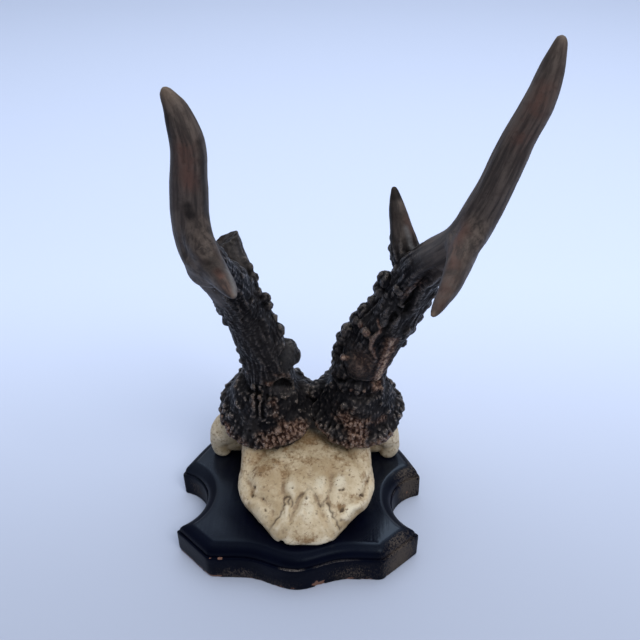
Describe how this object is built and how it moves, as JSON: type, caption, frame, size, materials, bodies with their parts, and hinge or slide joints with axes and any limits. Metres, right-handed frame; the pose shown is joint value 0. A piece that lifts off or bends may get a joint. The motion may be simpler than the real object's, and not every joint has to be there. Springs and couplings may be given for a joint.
{
  "type": "roe deer antler mount",
  "caption": "Weathered roe buck skull cap with both pearled antlers, mounted on a small shaped black wooden shield with a moulded edge.",
  "frame": {"origin": "on the shield's flat back, on its centre line, level with the middle of the antler burrs", "axes": "+Z out of the shield's front along the antlers, -Y towards the shield's broad top end, +Y towards its point, +X to the animal's right"},
  "size_m": [0.134, 0.1414, 0.2157],
  "materials": {
    "ebonised_wood": "black lacquer, worn brown at the edges",
    "bone": "dry weathered bone with brown stains",
    "antler": "dark brown, rough below and rubbed smooth towards the points"
  },
  "bodies": {
    "root": {"plaque": "ebonised_wood", "skull_cap": "bone", "left_antler": "antler", "left_front_stump": "antler", "left_back_tine": "antler", "right_antler": "antler", "right_front_tine": "antler", "right_back_tine": "antler"}
  },
  "joints": []
}
